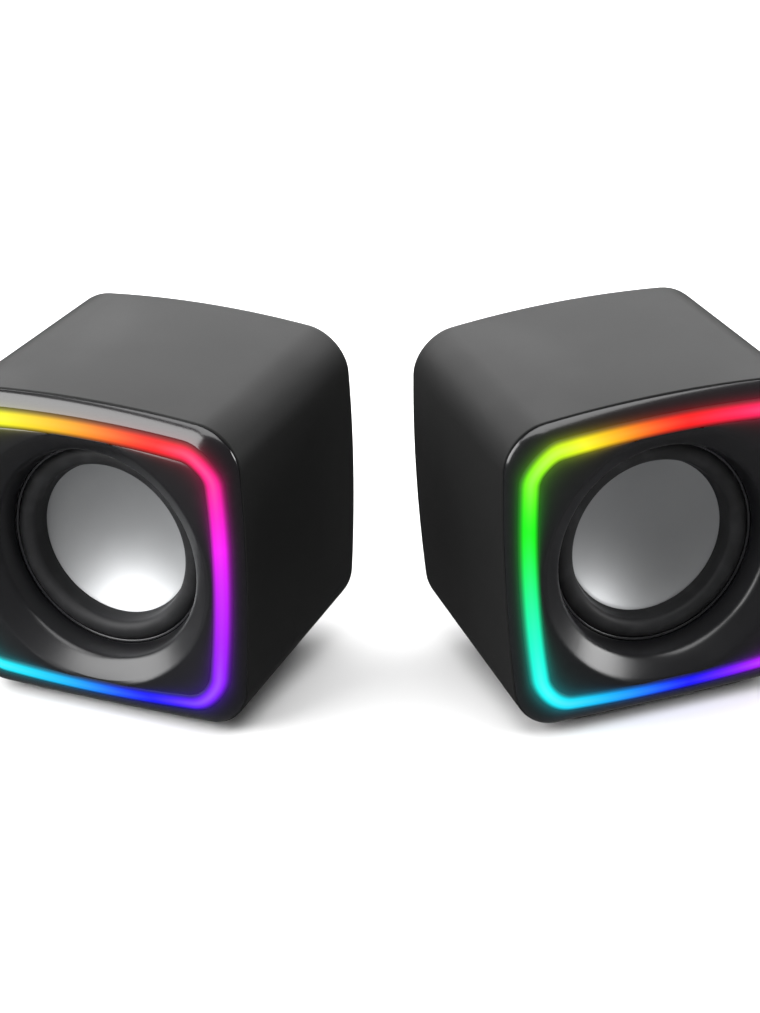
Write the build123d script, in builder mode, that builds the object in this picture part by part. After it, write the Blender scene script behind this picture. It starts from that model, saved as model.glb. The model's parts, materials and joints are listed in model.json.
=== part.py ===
"""A pair of small cube desktop speakers with a lit ring round each front.

Each speaker is modelled once in its own frame and then set down on the desk: X to the right
seen from the front, Y from the front to the back, Z up from the desk, and Y = 0 at the front
edge of the cabinet. The driver's axis runs along Y. All lengths are in millimetres.
"""

from build123d import *
from math import sqrt
import os

# ---------------------------------------------------------------- driving dimensions

# Where each speaker stands: the centre of its front edge on the desk, and how far it is turned.
PLACES = {"left": (-64.456, -21.345, -27.2), "right": (62.844, -30.425, 21.4)}

# Cabinet
FRONT_HALF_WIDTH = 38.6
BACK_HALF_WIDTH = 36.6
BODY_BOTTOM = 1.2
BODY_BOTTOM_BACK = 6.4
BODY_TOP = 77.4
BODY_TOP_BACK = 78.7
CABINET_DEPTH = 57.6
WALL = 2.2
LIP_WALL = 1.1
LIP_DEPTH = 5.5
PLUG_INSET = 1.75
CORNER = 9.6
CORNER_SHRINK = 0.55
TAPER = 0.026
SIDE_BOW = 1.6
TOP_BOW = 2.4
BOTTOM_BOW = 0.5
BACK_EDGE = 2.2
GAP = 0.1

# Front bevel: where it starts and ends in from the cabinet's outline, how far forward it comes
BEVEL_START = 0.35
BEVEL_END = 9.6
BEVEL_RISE = 4.6
BEVEL_POWER = 1.5
BEVEL_SECTIONS = 6

# Lit ring and what is behind it
AXIS_HEIGHT = 39.2
RING_HALF_WIDTH = 33.9
RING_HALF_HEIGHT = 32.5
RING_BAND = 4.1
RING_BOW = 1.9
RING_CORNER = 7.4
GUIDE_BACK = 1.5
BOARD_FRONT = 2.5
BOARD_THICK = 1.0
PLATE_FRONT = 3.6
PLATE_BACK = 5.4

# Bowl in the baffle, as radius and depth behind the front edge
MOUTH_RADIUS = 30.3
THROAT_RADIUS = 25.8
THROAT_DEPTH = -0.9
RIM_RADIUS = 24.4

# Rubber edge of the driver: radii and depths of its flange, roll and lip
GASKET_RADIUS = 25.9
GASKET_BACK = 5.9
EDGE_FLANGE_BACK = 6.42
ROLL_OUTER = 24.1
ROLL_MIDDLE = 21.7
ROLL_INNER = 19.3
ROLL_FRONT = 4.3
ROLL_ROOT = 7.1
ROLL_THICK = 0.45
LIP_INNER = 18.75
LIP_FRONT = 8.75
LIP_BACK = 9.12

# Driver, a 52 mm full-range unit
FLANGE_RADIUS = 26.4
FLANGE_FRONT = 6.45
FLANGE_THICK = 1.5
EAR_PITCH_RADIUS = 29.0
EAR_RADIUS = 3.4
PILLAR_RADIUS = 2.9
DISH_RADIUS = 18.6
DISH_EDGE = 9.2
DISH_DEPTH = 4.8
DISH_THICK = 0.5
FORMER_RADIUS = 9.75
FORMER_THICK = 0.25
FORMER_END = 25.6
COIL_THICK = 0.5
COIL_FRONT = 20.3
COIL_LENGTH = 5.0
PLATE_RADIUS = 19.0
GAP_RADIUS = 10.9
POLE_RADIUS = 9.4
TOP_PLATE_FRONT = 20.45
TOP_PLATE_THICK = 3.0
MAGNET_RADIUS = 20.0
MAGNET_HOLE = 12.5
MAGNET_LENGTH = 8.0
BACK_PLATE_THICK = 3.0
SPIDER_DEPTH = 16.9
SPIDER_INNER = 10.05
SPIDER_OUTER = 19.3
BASKET_NECK = 20.8
BASKET_LEDGE = 17.2
BASKET_FOOT = 11.2
BASKET_END = 20.4
WINDOW_WIDTH = 19.0

# Fixings: how far each screw stands from the driver's axis, sideways and up
BAFFLE_SCREW = (26.7, 26.0)
BACK_SCREW = (25.5, 24.5)
BOSS_RADIUS = 3.4
BAFFLE_BOSS_BACK = 12.0
BACK_BOSS_FRONT = 46.0

# Back panel and what it carries
PANEL_FRONT = 55.05
PANEL_THICK = 2.0
PANEL_INSET = 4.2
GLAND_HEIGHT = 17.0
GLAND_PLACES = {"left": [0.0], "right": [-13.0, 13.0]}
GLAND_BORE = 1.8
GLAND_NECK = 3.2
GLAND_FLANGE = 4.6
POT_HEIGHT = 47.0
BUSHING_RADIUS = 3.5
SHAFT_RADIUS = 3.0
SHAFT_BORE = 3.06
KNOB_RADIUS = 8.5

# Amplifier board and wiring
SOCKET_X = -8.0
LEAD_RADIUS = 0.6
SOCKET_HEIGHT = 27.0
BOARD_BACK = 45.0
BOARD_WIDTH = 48.0
BOARD_HEIGHT = 40.0
BOARD_MIDDLE = 41.0
PCB_THICK = 1.6
SMALL_CAN_PLACES = [(-19.5, 55.5), (-11.5, 56.5)]
SMALL_CAN = (3.2, 7.5)
LARGE_CAN_PLACES = [(19.0, 55.0)]
LARGE_CAN = (4.0, 8.0)
CHIP_PLACE = (4.0, 53.0)
CHIP_SIZE = (10.0, 5.0, 1.6)
CHIP_PITCH = 1.27
POST_PLACES = [(-19.0, 30.0), (19.0, 30.0)]

# Base pad
PAD_HALF_WIDTH = 25.5
PAD_FRONT = 2.4
PAD_BACK = 49.5
PAD_CORNER = 6.0
PAD_SEAT = 1.2

TAG_X = 4.0
TAG_HEIGHT = AXIS_HEIGHT - 24.4
driver_axis = Axis((0, 0, AXIS_HEIGHT), (0, 1, 0))
driver_plane = Plane.XY.offset(AXIS_HEIGHT)
PANEL_BACK = PANEL_FRONT + PANEL_THICK
BUSHING_END = PANEL_BACK + 2.6
KNOB_BACK = PANEL_BACK + 9.0


# ---------------------------------------------------------------- shared shapes


def upright(depth, height=0.0):
    """The plane that faces the front at a depth: its X is the speaker's X, its Y is up."""
    return Plane(origin=(0, depth, height), x_dir=(1, 0, 0), z_dir=(0, -1, 0))


def bowed_face(half_width, bottom, top, bows, corner):
    """A face with four bowed sides and round corners, a little wider at the top."""
    side_bow, top_bow, bottom_bow = bows
    wide = (half_width - side_bow) * (1 + TAPER)
    narrow = (half_width - side_bow) * (1 - TAPER)
    low, high = bottom + bottom_bow, top - top_bow
    middle = (low + high) / 2
    with BuildSketch() as outline:
        with BuildLine():
            ThreePointArc((-narrow, low), (0, bottom), (narrow, low))
            ThreePointArc((narrow, low), (half_width, middle), (wide, high))
            ThreePointArc((wide, high), (0, top), (-wide, high))
            ThreePointArc((-wide, high), (-half_width, middle), (-narrow, low))
        make_face()
        fillet(outline.vertices(), corner)
    return outline.sketch


def body_face(depth, inset):
    """The cabinet's outline at a depth, drawn in by inset."""
    back = max(depth, 0) / CABINET_DEPTH
    half_width = FRONT_HALF_WIDTH + (BACK_HALF_WIDTH - FRONT_HALF_WIDTH) * back
    bottom = BODY_BOTTOM + (BODY_BOTTOM_BACK - BODY_BOTTOM) * back
    top = BODY_TOP + (BODY_TOP_BACK - BODY_TOP) * back
    bows = (SIDE_BOW, TOP_BOW, BOTTOM_BOW)
    corner = CORNER - inset * CORNER_SHRINK
    return bowed_face(half_width - inset, bottom + inset, top - inset, bows, corner)


def ring_face(offset):
    """The outline of the lit ring's middle line, moved outwards by offset."""
    low = AXIS_HEIGHT - RING_HALF_HEIGHT - offset
    high = AXIS_HEIGHT + RING_HALF_HEIGHT + offset
    bows = (RING_BOW, RING_BOW, RING_BOW)
    return bowed_face(RING_HALF_WIDTH + offset, low, high, bows, RING_CORNER + offset)


def body_loft(inset, front, back):
    """A solid with the cabinet's shape, drawn in by inset, between two depths."""
    with BuildPart() as solid:
        for depth in (front, (front + back) / 2, back):
            with BuildSketch(upright(depth)):
                add(body_face(depth, inset))
        loft()
    return solid.part


def ring_prism(offset, front, back):
    """A prism on the ring's outline between two depths."""
    with BuildPart() as prism:
        with BuildSketch(upright(back)):
            add(ring_face(offset))
        extrude(amount=back - front)
    return prism.part


def turned(*points):
    """A ring or disc turned about the driver's axis from a closed outline of radius and depth."""
    with BuildPart() as ring:
        with BuildSketch(driver_plane):
            with BuildLine():
                Polyline(*points, close=True)
            make_face()
        revolve(axis=driver_axis)
    return ring.part


def tube(inner, outer, front, back):
    """A plain ring about the driver's axis, or a disc where inner is 0."""
    return turned((inner, front), (outer, front), (outer, back), (inner, back))


def corners(place):
    """The four corner places about the driver's axis, as X and Z."""
    across, up = place
    return [(sx * across, AXIS_HEIGHT + sz * up) for sx in (-1, 1) for sz in (-1, 1)]


def rods(places, radius, front, back):
    """Round rods along Y at places given as X and Z."""
    with BuildPart() as bars:
        with BuildSketch(upright(back)):
            with Locations(*places):
                Circle(radius)
        extrude(amount=back - front)
    return bars.part


def screws(places, head_depth, length, shank_radius, head_radius, head_height):
    """Pan-head screws driven from the back, their heads' undersides at head_depth."""
    slot_width = head_radius * 0.32
    slot_length = head_radius * 1.25
    with BuildPart() as group:
        with BuildSketch(upright(head_depth)):
            with Locations(*places):
                Circle(shank_radius)
        extrude(amount=length)
        with BuildSketch(upright(head_depth + head_height)):
            with Locations(*places):
                Circle(head_radius)
        extrude(amount=head_height)
        head_edges = group.edges().filter_by(GeomType.CIRCLE).group_by(Axis.Y)[-1]
        fillet(head_edges, head_height * 0.45)
        with BuildSketch(upright(head_depth + head_height)):
            with Locations(*places):
                Rectangle(slot_length, slot_width)
                Rectangle(slot_width, slot_length)
        extrude(amount=head_height * 0.6, mode=Mode.SUBTRACT)
    return group.part


# ---------------------------------------------------------------- casing


def bevel_rise(inset):
    """How far the front stands forward of the cabinet's edge at a distance in from its outline."""
    part = (inset - BEVEL_START) / (BEVEL_END - BEVEL_START)
    return BEVEL_RISE * (1 - (1 - part) ** BEVEL_POWER) ** (1 / BEVEL_POWER)


def front_blank(back):
    """The rounded bevel of the whole front, before it is parted into frame, ring and baffle."""
    steps = [(i / (BEVEL_SECTIONS - 1)) ** 1.6 for i in range(BEVEL_SECTIONS)]
    insets = [BEVEL_START + (BEVEL_END - BEVEL_START) * step for step in steps]
    with BuildPart() as blank:
        for inset in insets:
            with BuildSketch(upright(-bevel_rise(inset))):
                add(body_face(0, inset))
        loft()
        with BuildSketch(upright(back)):
            add(body_face(0, PLUG_INSET))
        extrude(amount=back)
    return blank.part


def cabinet_bosses(places, front, back):
    """Screw bosses tied to the cabinet's walls by two ribs each."""
    rib, reach = 2.4, 10.0
    with BuildPart() as bosses:
        for x, z in places:
            side = 1 if x > 0 else -1
            rise = 1 if z > AXIS_HEIGHT else -1
            with BuildSketch(upright(back)):
                with Locations((x, z)):
                    Circle(BOSS_RADIUS)
                with Locations((x + side * reach / 2, z)):
                    Rectangle(reach, rib)
                with Locations((x, z + rise * reach / 2)):
                    Rectangle(rib, reach)
            extrude(amount=back - front)
        add(body_loft(WALL / 2, 0, CABINET_DEPTH), mode=Mode.INTERSECT)
    return bosses.part


def pad_block(spread, lift):
    """The base pad, made larger all round by spread and taller by lift, cut off under the floor."""
    middle = (PAD_FRONT + PAD_BACK) / 2
    slope = (BODY_BOTTOM_BACK - BODY_BOTTOM) / CABINET_DEPTH
    seat = Plane(origin=(0, 0, BODY_BOTTOM + PAD_SEAT + lift), x_dir=(1, 0, 0), z_dir=(0, -slope, 1))
    with BuildPart() as block:
        with BuildSketch():
            with Locations((0, middle)):
                width, length = 2 * PAD_HALF_WIDTH, PAD_BACK - PAD_FRONT
                RectangleRounded(width + 2 * spread, length + 2 * spread, PAD_CORNER)
        extrude(amount=BODY_BOTTOM_BACK + 2 * PAD_SEAT)
        split(bisect_by=seat, keep=Keep.BOTTOM)
    return block.part


def make_cabinet():
    """The sleeve that forms the body, open at the front, with a frame round the back panel."""
    with BuildPart() as cabinet:
        add(body_loft(0, 0, CABINET_DEPTH))
        fillet(cabinet.faces().sort_by(Axis.Y)[-1].edges(), BACK_EDGE)
        add(body_loft(WALL, -1, PANEL_FRONT), mode=Mode.SUBTRACT)
        add(body_loft(LIP_WALL, -1, LIP_DEPTH), mode=Mode.SUBTRACT)
        with BuildSketch(upright(CABINET_DEPTH + 1)):
            add(body_face(CABINET_DEPTH, PANEL_INSET - GAP))
        extrude(amount=WALL * 2, mode=Mode.SUBTRACT)
        add(cabinet_bosses(corners(BAFFLE_SCREW), PLATE_BACK + GAP, BAFFLE_BOSS_BACK))
        add(cabinet_bosses(corners(BACK_SCREW), BACK_BOSS_FRONT, PANEL_FRONT - 0.02))
        add(rods(corners(BAFFLE_SCREW), 1.2, 0, BAFFLE_BOSS_BACK + 1), mode=Mode.SUBTRACT)
        add(rods(corners(BACK_SCREW), 1.02, BACK_BOSS_FRONT + 1, PANEL_FRONT), mode=Mode.SUBTRACT)
        add(pad_block(GAP, 0.02), mode=Mode.SUBTRACT)
    return cabinet.part


def make_front_frame():
    """The gloss frame between the cabinet and the lit ring."""
    with BuildPart() as frame:
        add(front_blank(PLATE_FRONT - GAP))
        add(ring_prism(RING_BAND / 2 + GAP / 2, -8, PLATE_FRONT), mode=Mode.SUBTRACT)
    return frame.part


def make_light_guide():
    """The frosted ring that carries the light round the front."""
    with BuildPart() as guide:
        add(ring_prism(RING_BAND / 2, -8, GUIDE_BACK))
        add(ring_prism(-RING_BAND / 2, -9, GUIDE_BACK + 1), mode=Mode.SUBTRACT)
        add(front_blank(PLATE_FRONT), mode=Mode.INTERSECT)
    return guide.part


def make_led_board():
    """The narrow circuit board behind the lit ring."""
    with BuildPart() as board:
        add(ring_prism(RING_BAND / 2 - GAP, BOARD_FRONT, BOARD_FRONT + BOARD_THICK))
        add(ring_prism(-RING_BAND / 2, 0, PLATE_FRONT), mode=Mode.SUBTRACT)
    return board.part


def ring_side(rise):
    """Half the width of the ring's middle line at a height above the driver's axis."""
    part = rise / RING_HALF_HEIGHT
    return (RING_HALF_WIDTH - RING_BOW * part**2) * (1 + TAPER * part)


def ring_top(across):
    """Half the height of the ring's middle line at a distance to one side of the axis."""
    return RING_HALF_HEIGHT - RING_BOW * (across / RING_HALF_WIDTH) ** 2


def make_leds():
    """Six light-emitting diodes on each side of the board."""
    size, height, count, reach = 2.0, 0.9, 6, 24.0
    steps = [reach * (2 * i / (count - 1) - 1) for i in range(count)]
    places = [(s, AXIS_HEIGHT + side * ring_top(s)) for s in steps for side in (-1, 1)]
    places += [(side * ring_side(s), AXIS_HEIGHT + s) for s in steps for side in (-1, 1)]
    with BuildPart() as leds:
        with BuildSketch(upright(BOARD_FRONT)):
            with Locations(*places):
                Rectangle(size, size)
        extrude(amount=height)
    return leds.part


def bowl_panel():
    """The part of the front inside the lit ring, before its bowl is cut."""
    with BuildPart() as panel:
        add(front_blank(PLATE_BACK))
        add(ring_prism(-RING_BAND / 2 - GAP / 2, -8, PLATE_BACK), mode=Mode.INTERSECT)
    return panel.part


def make_baffle():
    """The inner front with its bowl, on the plate that the driver is screwed to."""
    ears = PolarLocations(EAR_PITCH_RADIUS, 4, 45)
    mouth = MOUTH_RADIUS + 0.7
    with BuildPart() as baffle:
        add(bowl_panel())
        with BuildSketch(upright(PLATE_BACK)):
            add(body_face(0, PLUG_INSET))
        extrude(amount=PLATE_BACK - PLATE_FRONT)
        with BuildSketch(upright(FLANGE_FRONT - 0.02, AXIS_HEIGHT)):
            with ears:
                Circle(PILLAR_RADIUS)
        extrude(amount=FLANGE_FRONT - PLATE_BACK + 0.5)
        with BuildSketch(driver_plane):
            with BuildLine():
                Polyline((0, -8), (mouth, -8), (mouth, -4.9), (MOUTH_RADIUS, -4.3))
                Polyline((MOUTH_RADIUS, -4.3), (THROAT_RADIUS, THROAT_DEPTH), (RIM_RADIUS, 4.4))
                Polyline((RIM_RADIUS, 4.4), (RIM_RADIUS, 8), (0, 8), (0, -8))
            make_face()
        revolve(axis=driver_axis, mode=Mode.SUBTRACT)
        bowl_edges = baffle.edges().filter_by(GeomType.CIRCLE)
        fillet(bowl_edges.filter_by(lambda e: abs(e.radius - THROAT_RADIUS) < 0.01), 1.0)
        add(rods(corners(BAFFLE_SCREW), 1.02, -1.2, 6), mode=Mode.SUBTRACT)
        with BuildSketch(upright(7, AXIS_HEIGHT)):
            with ears:
                Circle(1.02)
        extrude(amount=7.5, mode=Mode.SUBTRACT)
    return baffle.part


def make_base_pad():
    """The rubber pad under the cabinet, taller at the back, where the floor rises."""
    return pad_block(0, 0)


def make_back_panel(side):
    """The back panel with its holes, and the amplifier posts on the right one."""
    places = [(x, GLAND_HEIGHT) for x in GLAND_PLACES[side]]
    with BuildPart() as panel:
        with BuildSketch(upright(PANEL_BACK)):
            add(body_face(CABINET_DEPTH, PANEL_INSET))
        extrude(amount=PANEL_THICK)
        if side == "right":
            add(rods(POST_PLACES, 2.4, BOARD_BACK + 0.05, PANEL_FRONT + 0.5))
            add(rods(POST_PLACES, 0.8, 40, PANEL_FRONT - 1), mode=Mode.SUBTRACT)
            add(rods([(0, POT_HEIGHT)], BUSHING_RADIUS + 0.15, 50, 60), mode=Mode.SUBTRACT)
        add(rods(places, GLAND_NECK + 0.05, 50, 60), mode=Mode.SUBTRACT)
        add(rods(corners(BACK_SCREW), 1.5, 50, 60), mode=Mode.SUBTRACT)
    return panel.part


def make_glands(side):
    """A rubber grommet for each cable, with a flange on both faces of the back panel."""
    places = [(x, GLAND_HEIGHT) for x in GLAND_PLACES[side]]
    with BuildPart() as glands:
        add(rods(places, GLAND_NECK, PANEL_FRONT - 1.4, PANEL_BACK + 1.6))
        add(rods(places, GLAND_FLANGE, PANEL_BACK + 0.02, PANEL_BACK + 1.6))
        fillet(glands.edges().filter_by(GeomType.CIRCLE).group_by(Axis.Y)[-1], 0.7)
        add(rods(places, GLAND_FLANGE - 0.6, PANEL_FRONT - 1.4, PANEL_FRONT - 0.02))
        add(rods(places, GLAND_BORE, 50, 62), mode=Mode.SUBTRACT)
    return glands.part


# ---------------------------------------------------------------- driver


def make_gasket():
    """The paper ring between the baffle and the driver's rubber edge."""
    return tube(RIM_RADIUS + GAP, GASKET_RADIUS, PLATE_BACK + 0.02, GASKET_BACK)


def make_surround():
    """The half-roll rubber edge: a flat flange outside, a roll, and a lip on the dish."""
    front = GASKET_BACK + 0.02
    inside = ROLL_INNER + ROLL_THICK
    with BuildPart() as surround:
        with BuildSketch(driver_plane):
            with BuildLine():
                Polyline((ROLL_OUTER, front), (GASKET_RADIUS, front), (GASKET_RADIUS, EDGE_FLANGE_BACK))
                Line((GASKET_RADIUS, EDGE_FLANGE_BACK), (ROLL_OUTER - 0.2, EDGE_FLANGE_BACK))
                ThreePointArc(
                    (ROLL_OUTER - 0.2, EDGE_FLANGE_BACK),
                    (ROLL_MIDDLE + 0.1, ROLL_FRONT + ROLL_THICK),
                    (inside, ROLL_ROOT + 0.2),
                )
                Polyline((inside, ROLL_ROOT + 0.2), (ROLL_INNER + 0.2, LIP_BACK), (LIP_INNER, LIP_BACK))
                Polyline((LIP_INNER, LIP_BACK), (LIP_INNER, LIP_FRONT), (LIP_INNER + 0.3, LIP_FRONT - 0.15))
                Line((LIP_INNER + 0.3, LIP_FRONT - 0.15), (ROLL_INNER, ROLL_ROOT))
                ThreePointArc((ROLL_INNER, ROLL_ROOT), (ROLL_MIDDLE, ROLL_FRONT), (ROLL_OUTER, front))
            make_face()
        revolve(axis=driver_axis)
    return surround.part


def dish_arc(clear):
    """Radius and depth of the dish's rim, mid-radius and middle, moved back by clear."""
    sphere = (DISH_RADIUS**2 + DISH_DEPTH**2) / (2 * DISH_DEPTH)
    middle = DISH_RADIUS / 2
    rise = DISH_DEPTH - sphere + sqrt(sphere**2 - middle**2)
    edge = DISH_EDGE + clear
    return (DISH_RADIUS, edge), (middle, edge + rise), (0, edge + DISH_DEPTH)


def make_dish():
    """The concave metal dish, with a flat lip under the surround."""
    front, back = dish_arc(0), dish_arc(DISH_THICK)
    lip = DISH_RADIUS + 0.8
    with BuildPart() as dish:
        with BuildSketch(driver_plane):
            with BuildLine():
                ThreePointArc(*front)
                Line(front[-1], back[-1])
                ThreePointArc(*reversed(back))
                Polyline(back[0], (lip, back[0][1]), (lip, front[0][1]), front[0])
            make_face()
        revolve(axis=driver_axis)
    return dish.part


def make_coil_former():
    """The thin paper tube that carries the coil, trimmed to the back of the dish."""
    under = dish_arc(DISH_THICK + 0.03)
    with BuildPart() as former:
        add(tube(FORMER_RADIUS, FORMER_RADIUS + FORMER_THICK, DISH_EDGE, FORMER_END))
        with BuildSketch(driver_plane):
            with BuildLine():
                ThreePointArc(*under)
                Polyline(under[-1], (0, 0), (DISH_RADIUS, 0), under[0])
            make_face()
        revolve(axis=driver_axis, mode=Mode.SUBTRACT)
    return former.part


def make_voice_coil():
    """The copper winding on the end of the former."""
    inside = FORMER_RADIUS + FORMER_THICK + 0.01
    return tube(inside, inside + COIL_THICK, COIL_FRONT, COIL_FRONT + COIL_LENGTH)


def make_spider():
    """The corrugated cloth disc that centres the coil, resting on the basket's ledge."""
    waves, height, thick, flat = 4, 0.35, 0.3, 2.0
    count = 2 * waves + 1
    waved = SPIDER_OUTER - flat - SPIDER_INNER
    radii = [SPIDER_INNER + waved * i / (count - 1) for i in range(count)]
    front = [(r, SPIDER_DEPTH - height * (i % 2)) for i, r in enumerate(radii)]
    back = [(r, y + thick) for r, y in front]
    with BuildPart() as spider:
        with BuildSketch(driver_plane):
            with BuildLine():
                Polyline(*front, (SPIDER_OUTER, SPIDER_DEPTH), (SPIDER_OUTER, SPIDER_DEPTH + thick))
                Polyline((SPIDER_OUTER, SPIDER_DEPTH + thick), *reversed(back), front[0])
            make_face()
        revolve(axis=driver_axis)
    return spider.part


def make_basket():
    """The pressed steel frame, with three windows and a solid foot for the terminals."""
    flange_back = FLANGE_FRONT + FLANGE_THICK
    ledge = SPIDER_DEPTH + 0.35
    foot_front = BASKET_END - 1.2
    opening = RIM_RADIUS - 0.4
    with BuildPart() as basket:
        add(
            turned(
                (opening, FLANGE_FRONT),
                (FLANGE_RADIUS, FLANGE_FRONT),
                (FLANGE_RADIUS, flange_back),
                (FLANGE_RADIUS - 1.2, flange_back + 0.6),
                (BASKET_NECK, ledge),
                (BASKET_NECK, BASKET_END),
                (BASKET_FOOT, BASKET_END),
                (BASKET_FOOT, foot_front),
                (BASKET_LEDGE, foot_front),
                (BASKET_LEDGE, ledge),
                (BASKET_NECK - 1.2, ledge),
                (opening, flange_back + 0.4),
            )
        )
        with BuildSketch(upright(flange_back, AXIS_HEIGHT)):
            with PolarLocations(EAR_PITCH_RADIUS, 4, 45):
                Circle(EAR_RADIUS)
            with PolarLocations(EAR_PITCH_RADIUS - 2.4, 4, 45):
                Rectangle(3.6, 2 * EAR_RADIUS)
            Circle(24.5, mode=Mode.SUBTRACT)
        extrude(amount=FLANGE_THICK)
        window_front, window_back = flange_back + 1.4, ledge - 1.0
        with Locations((0, (window_front + window_back) / 2, AXIS_HEIGHT)):
            Box(3 * WINDOW_WIDTH, window_back - window_front, WINDOW_WIDTH, mode=Mode.SUBTRACT)
        with Locations((0, (window_front + window_back) / 2, AXIS_HEIGHT + 0.8 * WINDOW_WIDTH)):
            Box(WINDOW_WIDTH, window_back - window_front, 1.6 * WINDOW_WIDTH, mode=Mode.SUBTRACT)
        with BuildSketch(upright(flange_back + 1, AXIS_HEIGHT)):
            with PolarLocations(EAR_PITCH_RADIUS, 4, 45):
                Circle(1.5)
        extrude(amount=FLANGE_THICK + 2, mode=Mode.SUBTRACT)
    return basket.part


def make_top_plate():
    """The front plate of the magnet system."""
    back = TOP_PLATE_FRONT + TOP_PLATE_THICK
    return tube(GAP_RADIUS, PLATE_RADIUS, TOP_PLATE_FRONT, back)


def make_magnet():
    """The ferrite ring."""
    front = TOP_PLATE_FRONT + TOP_PLATE_THICK + 0.02
    with BuildPart() as magnet:
        add(tube(MAGNET_HOLE, MAGNET_RADIUS, front, front + MAGNET_LENGTH))
        chamfer(magnet.edges().filter_by(GeomType.CIRCLE), 0.6)
    return magnet.part


def make_yoke():
    """The back plate and the pole piece, one steel forging."""
    front = TOP_PLATE_FRONT + TOP_PLATE_THICK + MAGNET_LENGTH + 0.04
    back = front + BACK_PLATE_THICK
    with BuildPart() as yoke:
        add(
            turned(
                (0, TOP_PLATE_FRONT),
                (POLE_RADIUS, TOP_PLATE_FRONT),
                (POLE_RADIUS, front),
                (PLATE_RADIUS, front),
                (PLATE_RADIUS, back),
                (0, back),
            )
        )
        chamfer(yoke.edges().filter_by(GeomType.CIRCLE).group_by(Axis.Y)[-1], 0.8)
    return yoke.part


def make_terminals():
    """The fibre strip under the basket with its two solder tags."""
    strip_top = AXIS_HEIGHT - 23.0
    with BuildPart() as terminals:
        with Locations((0, 16.0, strip_top - 0.6)):
            Box(14, 6, 1.2)
        with Locations((-TAG_X, 19.0, TAG_HEIGHT), (TAG_X, 19.0, TAG_HEIGHT)):
            Box(2.6, 7, 0.4)
    return terminals.part


# ---------------------------------------------------------------- amplifier


def make_amp_board():
    """The amplifier's circuit board, hung on the back panel's two posts."""
    with BuildPart() as board:
        with BuildSketch(upright(BOARD_BACK, BOARD_MIDDLE)):
            RectangleRounded(BOARD_WIDTH, BOARD_HEIGHT, 1.5)
        extrude(amount=PCB_THICK)
        add(rods(POST_PLACES, 1.3, 40, 50), mode=Mode.SUBTRACT)
    return board.part


def make_board_screws():
    """The two screws that hold the amplifier board."""
    with BuildPart() as group:
        add(rods(POST_PLACES, 2.0, BOARD_BACK - PCB_THICK - 1.4, BOARD_BACK - PCB_THICK - 0.02))
        add(rods(POST_PLACES, 0.75, BOARD_BACK - PCB_THICK - 0.5, 52))
    return group.part


def make_capacitors():
    """Three electrolytic cans standing forward of the board, clear of the magnet."""
    front = BOARD_BACK - PCB_THICK
    with BuildPart() as cans:
        for places, (radius, height) in ((SMALL_CAN_PLACES, SMALL_CAN), (LARGE_CAN_PLACES, LARGE_CAN)):
            add(rods(places, radius, front - height, front - 0.02))
        fillet(cans.edges().filter_by(GeomType.CIRCLE).group_by(Axis.Y)[0], 0.5)
    return cans.part


def make_amp_chip():
    """The amplifier chip with seven legs on each side."""
    front = BOARD_BACK - PCB_THICK
    chip_x, chip_z = CHIP_PLACE
    length, width, thick = CHIP_SIZE
    rows = [(i - 3, side) for i in range(7) for side in (-1, 1)]
    legs = [(chip_x + CHIP_PITCH * i, chip_z + side * (width / 2 + 0.7)) for i, side in rows]
    with BuildPart() as chip:
        with Locations((chip_x, front - thick / 2 - GAP, chip_z)):
            Box(length, thick, width)
        with BuildSketch(upright(front - 0.02)):
            with Locations(*legs):
                Rectangle(0.5, 1.8)
        extrude(amount=0.5)
    return chip.part


def make_connectors():
    """Shrouded wire sockets on the front of the board."""
    front = BOARD_BACK - PCB_THICK
    places = [(SOCKET_X, SOCKET_HEIGHT), (-SOCKET_X, SOCKET_HEIGHT)]
    with BuildPart() as sockets:
        with BuildSketch(upright(front - 0.02)):
            with Locations(*places):
                Rectangle(8, 5)
        extrude(amount=6)
        with BuildSketch(upright(front - 6.02)):
            with Locations(*places):
                Rectangle(6.4, 3.4)
        extrude(amount=-4, mode=Mode.SUBTRACT)
    return sockets.part


def make_volume_pot():
    """The rotary potentiometer's body and threaded bushing."""
    body_back = BOARD_BACK + 7.5
    with BuildPart() as pot:
        add(rods([(0, POT_HEIGHT)], 8.0, BOARD_BACK + 0.02, body_back))
        add(rods([(0, POT_HEIGHT)], BUSHING_RADIUS, body_back, BUSHING_END))
        add(rods([(0, POT_HEIGHT)], SHAFT_BORE, BOARD_BACK + 2, BUSHING_END + 1), mode=Mode.SUBTRACT)
    return pot.part


def make_pot_nut():
    """The nut that clamps the potentiometer to the back panel."""
    with BuildPart() as nut:
        with BuildSketch(upright(PANEL_BACK + 2.02, POT_HEIGHT)):
            RegularPolygon(5.6, 6)
            Circle(BUSHING_RADIUS + 0.02, mode=Mode.SUBTRACT)
        extrude(amount=2)
    return nut.part


def make_pot_shaft():
    """The potentiometer's turning shaft."""
    with BuildPart() as shaft:
        add(rods([(0, POT_HEIGHT)], SHAFT_RADIUS, BOARD_BACK + 2.4, KNOB_BACK - 2))
        chamfer(shaft.edges().filter_by(GeomType.CIRCLE).group_by(Axis.Y)[-1], 0.4)
    return shaft.part


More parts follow.
